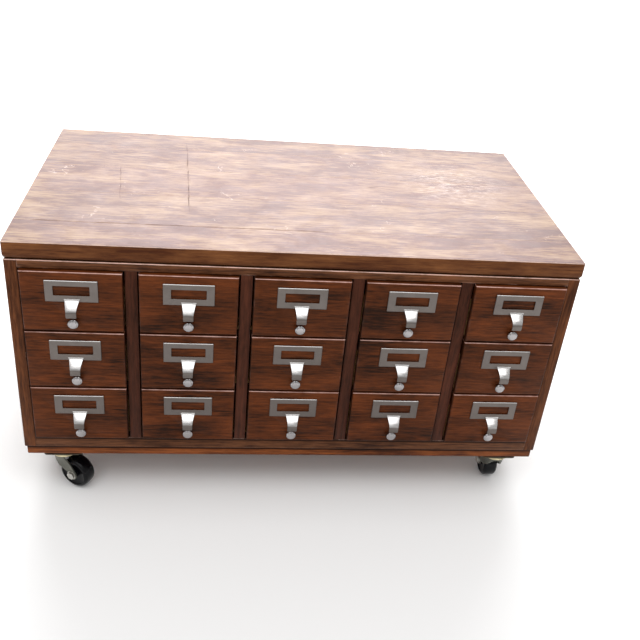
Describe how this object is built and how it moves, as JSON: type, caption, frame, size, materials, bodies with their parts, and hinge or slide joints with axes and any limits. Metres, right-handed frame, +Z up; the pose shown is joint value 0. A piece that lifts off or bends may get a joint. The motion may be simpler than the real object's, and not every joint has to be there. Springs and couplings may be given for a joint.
{
  "type": "card catalog cabinet",
  "caption": "Low wooden card catalog cabinet on swivel casters, with rows of small drawers that carry label pulls and card rods.",
  "frame": {"origin": "on the floor, under the middle of the whole object's box with every drawer shut", "axes": "+X along the front to the right as seen from the front, +Y towards the back (drawers open towards -Y), +Z up"},
  "size_m": [0.86, 0.4848, 0.4694],
  "materials": {
    "top_wood": "stained and varnished hardwood, worn satin",
    "case_wood": "dark stained hardwood, satin",
    "drawer_wood": "dark stained hardwood, satin",
    "pull_metal": "satin nickel-plated steel",
    "rod_metal": "polished nickel-plated steel",
    "plate_zinc": "yellow zinc-plated steel",
    "fork_zinc": "grey zinc-plated steel",
    "wheel_black": "hard black tyre, glossy"
  },
  "bodies": {
    "root": {"carcase": "case_wood", "top_board": "top_wood", "base_board": "case_wood", "caster_plate_front_left": "plate_zinc", "caster_plate_front_right": "plate_zinc", "caster_plate_rear_left": "plate_zinc", "caster_plate_rear_right": "plate_zinc"},
    "caster_fork_front_left": {"caster_fork_front_left": "fork_zinc"},
    "caster_wheel_front_left": {"caster_wheel_front_left": "wheel_black"},
    "caster_fork_front_right": {"caster_fork_front_right": "fork_zinc"},
    "caster_wheel_front_right": {"caster_wheel_front_right": "wheel_black"},
    "caster_fork_rear_left": {"caster_fork_rear_left": "fork_zinc"},
    "caster_wheel_rear_left": {"caster_wheel_rear_left": "wheel_black"},
    "caster_fork_rear_right": {"caster_fork_rear_right": "fork_zinc"},
    "caster_wheel_rear_right": {"caster_wheel_rear_right": "wheel_black"},
    "drawer_r1_c1": {"drawer_r1_c1": "drawer_wood", "label_pull_r1_c1": "pull_metal"},
    "card_rod_r1_c1": {"card_rod_r1_c1": "rod_metal"},
    "drawer_r1_c2": {"drawer_r1_c2": "drawer_wood", "label_pull_r1_c2": "pull_metal"},
    "card_rod_r1_c2": {"card_rod_r1_c2": "rod_metal"},
    "drawer_r1_c3": {"drawer_r1_c3": "drawer_wood", "label_pull_r1_c3": "pull_metal"},
    "card_rod_r1_c3": {"card_rod_r1_c3": "rod_metal"},
    "drawer_r1_c4": {"drawer_r1_c4": "drawer_wood", "label_pull_r1_c4": "pull_metal"},
    "card_rod_r1_c4": {"card_rod_r1_c4": "rod_metal"},
    "drawer_r1_c5": {"drawer_r1_c5": "drawer_wood", "label_pull_r1_c5": "pull_metal"},
    "card_rod_r1_c5": {"card_rod_r1_c5": "rod_metal"},
    "drawer_r2_c1": {"drawer_r2_c1": "drawer_wood", "label_pull_r2_c1": "pull_metal"},
    "card_rod_r2_c1": {"card_rod_r2_c1": "rod_metal"},
    "drawer_r2_c2": {"drawer_r2_c2": "drawer_wood", "label_pull_r2_c2": "pull_metal"},
    "card_rod_r2_c2": {"card_rod_r2_c2": "rod_metal"},
    "drawer_r2_c3": {"drawer_r2_c3": "drawer_wood", "label_pull_r2_c3": "pull_metal"},
    "card_rod_r2_c3": {"card_rod_r2_c3": "rod_metal"},
    "drawer_r2_c4": {"drawer_r2_c4": "drawer_wood", "label_pull_r2_c4": "pull_metal"},
    "card_rod_r2_c4": {"card_rod_r2_c4": "rod_metal"},
    "drawer_r2_c5": {"drawer_r2_c5": "drawer_wood", "label_pull_r2_c5": "pull_metal"},
    "card_rod_r2_c5": {"card_rod_r2_c5": "rod_metal"},
    "drawer_r3_c1": {"drawer_r3_c1": "drawer_wood", "label_pull_r3_c1": "pull_metal"},
    "card_rod_r3_c1": {"card_rod_r3_c1": "rod_metal"},
    "drawer_r3_c2": {"drawer_r3_c2": "drawer_wood", "label_pull_r3_c2": "pull_metal"},
    "card_rod_r3_c2": {"card_rod_r3_c2": "rod_metal"},
    "drawer_r3_c3": {"drawer_r3_c3": "drawer_wood", "label_pull_r3_c3": "pull_metal"},
    "card_rod_r3_c3": {"card_rod_r3_c3": "rod_metal"},
    "drawer_r3_c4": {"drawer_r3_c4": "drawer_wood", "label_pull_r3_c4": "pull_metal"},
    "card_rod_r3_c4": {"card_rod_r3_c4": "rod_metal"},
    "drawer_r3_c5": {"drawer_r3_c5": "drawer_wood", "label_pull_r3_c5": "pull_metal"},
    "card_rod_r3_c5": {"card_rod_r3_c5": "rod_metal"}
  },
  "joints": [
    {"name": "swivel_front_left", "type": "hinge", "parent": "root", "child": "caster_fork_front_left", "pos_m": [-0.372, -0.18805, 0.076], "axis": [0, 0, 1], "continuous": true},
    {"name": "swivel_front_right", "type": "hinge", "parent": "root", "child": "caster_fork_front_right", "pos_m": [0.372, -0.18805, 0.076], "axis": [0, 0, 1], "continuous": true},
    {"name": "swivel_rear_left", "type": "hinge", "parent": "root", "child": "caster_fork_rear_left", "pos_m": [-0.372, 0.21095, 0.076], "axis": [0, 0, 1], "continuous": true},
    {"name": "swivel_rear_right", "type": "hinge", "parent": "root", "child": "caster_fork_rear_right", "pos_m": [0.372, 0.21095, 0.076], "axis": [0, 0, 1], "continuous": true},
    {"name": "roll_front_left", "type": "hinge", "parent": "caster_fork_front_left", "child": "caster_wheel_front_left", "pos_m": [-0.35251, -0.1993, 0.028], "axis": [0.5, 0.866, 0], "continuous": true},
    {"name": "roll_front_right", "type": "hinge", "parent": "caster_fork_front_right", "child": "caster_wheel_front_right", "pos_m": [0.372, -0.16555, 0.028], "axis": [-1, 0, 0], "continuous": true},
    {"name": "roll_rear_left", "type": "hinge", "parent": "caster_fork_rear_left", "child": "caster_wheel_rear_left", "pos_m": [-0.36249, 0.19056, 0.028], "axis": [0.9063, 0.4226, 0], "continuous": true},
    {"name": "roll_rear_right", "type": "hinge", "parent": "caster_fork_rear_right", "child": "caster_wheel_rear_right", "pos_m": [0.36075, 0.19146, 0.028], "axis": [0.866, -0.5, 0], "continuous": true},
    {"name": "slide_r1_c1", "type": "slide", "parent": "root", "child": "drawer_r1_c1", "axis": [0, -1, 0], "range_m": [0, 0.34]},
    {"name": "slide_r1_c2", "type": "slide", "parent": "root", "child": "drawer_r1_c2", "axis": [0, -1, 0], "range_m": [0, 0.34]},
    {"name": "slide_r1_c3", "type": "slide", "parent": "root", "child": "drawer_r1_c3", "axis": [0, -1, 0], "range_m": [0, 0.34]},
    {"name": "slide_r1_c4", "type": "slide", "parent": "root", "child": "drawer_r1_c4", "axis": [0, -1, 0], "range_m": [0, 0.34]},
    {"name": "slide_r1_c5", "type": "slide", "parent": "root", "child": "drawer_r1_c5", "axis": [0, -1, 0], "range_m": [0, 0.34]},
    {"name": "slide_r2_c1", "type": "slide", "parent": "root", "child": "drawer_r2_c1", "axis": [0, -1, 0], "range_m": [0, 0.34]},
    {"name": "slide_r2_c2", "type": "slide", "parent": "root", "child": "drawer_r2_c2", "axis": [0, -1, 0], "range_m": [0, 0.34]},
    {"name": "slide_r2_c3", "type": "slide", "parent": "root", "child": "drawer_r2_c3", "axis": [0, -1, 0], "range_m": [0, 0.34]},
    {"name": "slide_r2_c4", "type": "slide", "parent": "root", "child": "drawer_r2_c4", "axis": [0, -1, 0], "range_m": [0, 0.34]},
    {"name": "slide_r2_c5", "type": "slide", "parent": "root", "child": "drawer_r2_c5", "axis": [0, -1, 0], "range_m": [0, 0.34]},
    {"name": "slide_r3_c1", "type": "slide", "parent": "root", "child": "drawer_r3_c1", "axis": [0, -1, 0], "range_m": [0, 0.34]},
    {"name": "slide_r3_c2", "type": "slide", "parent": "root", "child": "drawer_r3_c2", "axis": [0, -1, 0], "range_m": [0, 0.34]},
    {"name": "slide_r3_c3", "type": "slide", "parent": "root", "child": "drawer_r3_c3", "axis": [0, -1, 0], "range_m": [0, 0.34]},
    {"name": "slide_r3_c4", "type": "slide", "parent": "root", "child": "drawer_r3_c4", "axis": [0, -1, 0], "range_m": [0, 0.34]},
    {"name": "slide_r3_c5", "type": "slide", "parent": "root", "child": "drawer_r3_c5", "axis": [0, -1, 0], "range_m": [0, 0.34]},
    {"name": "rod_r1_c1", "type": "slide", "parent": "drawer_r1_c1", "child": "card_rod_r1_c1", "axis": [0, -1, 0], "range_m": [0, 0.431]},
    {"name": "rod_r1_c2", "type": "slide", "parent": "drawer_r1_c2", "child": "card_rod_r1_c2", "axis": [0, -1, 0], "range_m": [0, 0.431]},
    {"name": "rod_r1_c3", "type": "slide", "parent": "drawer_r1_c3", "child": "card_rod_r1_c3", "axis": [0, -1, 0], "range_m": [0, 0.431]},
    {"name": "rod_r1_c4", "type": "slide", "parent": "drawer_r1_c4", "child": "card_rod_r1_c4", "axis": [0, -1, 0], "range_m": [0, 0.431]},
    {"name": "rod_r1_c5", "type": "slide", "parent": "drawer_r1_c5", "child": "card_rod_r1_c5", "axis": [0, -1, 0], "range_m": [0, 0.431]},
    {"name": "rod_r2_c1", "type": "slide", "parent": "drawer_r2_c1", "child": "card_rod_r2_c1", "axis": [0, -1, 0], "range_m": [0, 0.431]},
    {"name": "rod_r2_c2", "type": "slide", "parent": "drawer_r2_c2", "child": "card_rod_r2_c2", "axis": [0, -1, 0], "range_m": [0, 0.431]},
    {"name": "rod_r2_c3", "type": "slide", "parent": "drawer_r2_c3", "child": "card_rod_r2_c3", "axis": [0, -1, 0], "range_m": [0, 0.431]},
    {"name": "rod_r2_c4", "type": "slide", "parent": "drawer_r2_c4", "child": "card_rod_r2_c4", "axis": [0, -1, 0], "range_m": [0, 0.431]},
    {"name": "rod_r2_c5", "type": "slide", "parent": "drawer_r2_c5", "child": "card_rod_r2_c5", "axis": [0, -1, 0], "range_m": [0, 0.431]},
    {"name": "rod_r3_c1", "type": "slide", "parent": "drawer_r3_c1", "child": "card_rod_r3_c1", "axis": [0, -1, 0], "range_m": [0, 0.431]},
    {"name": "rod_r3_c2", "type": "slide", "parent": "drawer_r3_c2", "child": "card_rod_r3_c2", "axis": [0, -1, 0], "range_m": [0, 0.431]},
    {"name": "rod_r3_c3", "type": "slide", "parent": "drawer_r3_c3", "child": "card_rod_r3_c3", "axis": [0, -1, 0], "range_m": [0, 0.431]},
    {"name": "rod_r3_c4", "type": "slide", "parent": "drawer_r3_c4", "child": "card_rod_r3_c4", "axis": [0, -1, 0], "range_m": [0, 0.431]},
    {"name": "rod_r3_c5", "type": "slide", "parent": "drawer_r3_c5", "child": "card_rod_r3_c5", "axis": [0, -1, 0], "range_m": [0, 0.431]}
  ]
}
